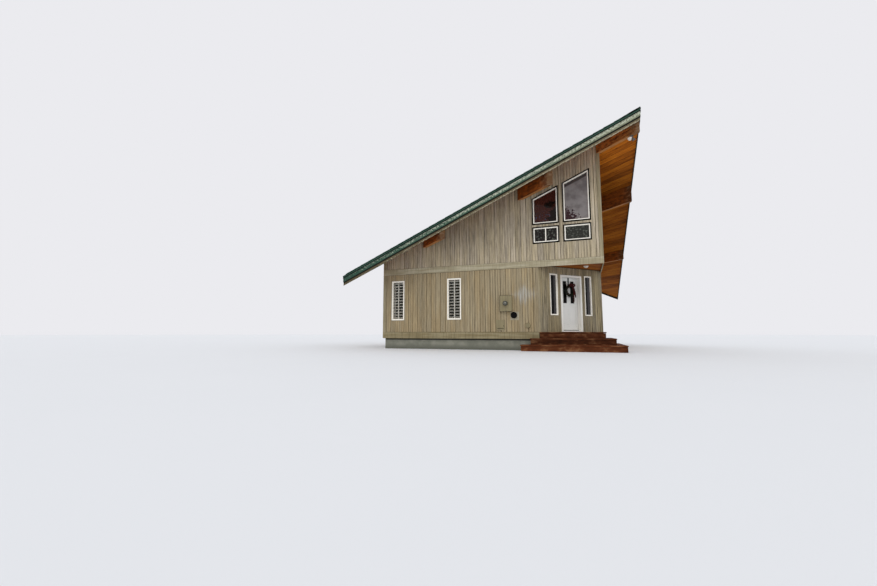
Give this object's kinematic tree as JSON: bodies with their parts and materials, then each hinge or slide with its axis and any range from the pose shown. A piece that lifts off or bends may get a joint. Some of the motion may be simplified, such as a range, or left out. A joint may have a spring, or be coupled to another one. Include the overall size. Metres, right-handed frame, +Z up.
{
  "type": "prow-front gabled cabin",
  "caption": "Hollow gabled cabin on a square plan turned to its ridge, with overhanging prows, exposed purlins, ribbed metal roof, hinged entry door and stepped porch.",
  "frame": {"origin": "on the lowest ground, under the centre of the square plan", "axes": "+Z up, ridge along Y, entry prow at -Y, +X to the right seen from the entry"},
  "size_m": [15.562, 15.562, 7.8147],
  "materials": {
    "concrete": "grey-green painted concrete",
    "floor_timber": "sawn joists and boards",
    "siding": "stained grooved siding, taupe",
    "beam_timber": "stained laminated timber",
    "soffit_timber": "stained cedar boards",
    "roof_metal": "dark green coated steel",
    "fascia_paint": "weathered green-grey paint",
    "trim_paint": "pale stained boards",
    "white_vinyl": "white window section",
    "glazing": "dark glazing",
    "dark_casing": "black casing",
    "step_timber": "dark red-brown stained timber",
    "hardware": "satin steel",
    "door_paint": "white painted door",
    "wreath_green": "artificial evergreen",
    "grey_metal": "weathered grey-beige enclosure",
    "lamp_white": "white lamp housing"
  },
  "bodies": {
    "house": {"foundation": "concrete", "ground_floor": "floor_timber", "lower_wall_front_left": "siding", "lower_wall_front_right": "siding", "lower_wall_back_left": "siding", "lower_wall_back_right": "siding", "entry_wall_left": "siding", "entry_wall_right": "siding", "entry_wall_head": "siding", "upper_floor": "floor_timber", "upper_wall_front_left": "siding", "upper_wall_front_right": "siding", "upper_wall_back_left": "siding", "upper_wall_back_right": "siding", "ridge_beam": "beam_timber", "upper_purlins": "beam_timber", "lower_purlins": "beam_timber", "roof_deck_left": "soffit_timber", "roof_deck_right": "soffit_timber", "roof_metal_left": "roof_metal", "roof_metal_right": "roof_metal", "ridge_cap": "roof_metal", "fascia_front_left": "fascia_paint", "fascia_front_right": "fascia_paint", "fascia_back_left": "fascia_paint", "fascia_back_right": "fascia_paint", "sub_fascia": "trim_paint", "rake_edge": "roof_metal", "belly_band": "trim_paint", "base_boards": "trim_paint", "corner_boards": "trim_paint", "entry_soffit": "soffit_timber", "lower_window_frames": "white_vinyl", "lower_window_glass": "glazing", "upper_window_frames": "white_vinyl", "upper_window_glass": "glazing", "upper_window_casings": "dark_casing", "porch_platform": "step_timber", "middle_step": "step_timber", "bottom_step": "step_timber", "door_frame": "white_vinyl", "frame_hinge_leaves": "hardware", "meter_box": "grey_metal", "wall_vents": "grey_metal", "porch_light": "lamp_white", "floodlight": "lamp_white"},
    "door": {"entry_door": "door_paint", "door_lights": "glazing", "door_knob": "hardware", "door_hinge_leaves": "hardware", "wreath": "wreath_green"}
  },
  "joints": [
    {"name": "door_hinge", "type": "hinge", "parent": "house", "child": "door", "pos_m": [0.458, -4.26145, 1.75], "axis": [0, 0, -1], "range_deg": [0, 95]}
  ]
}
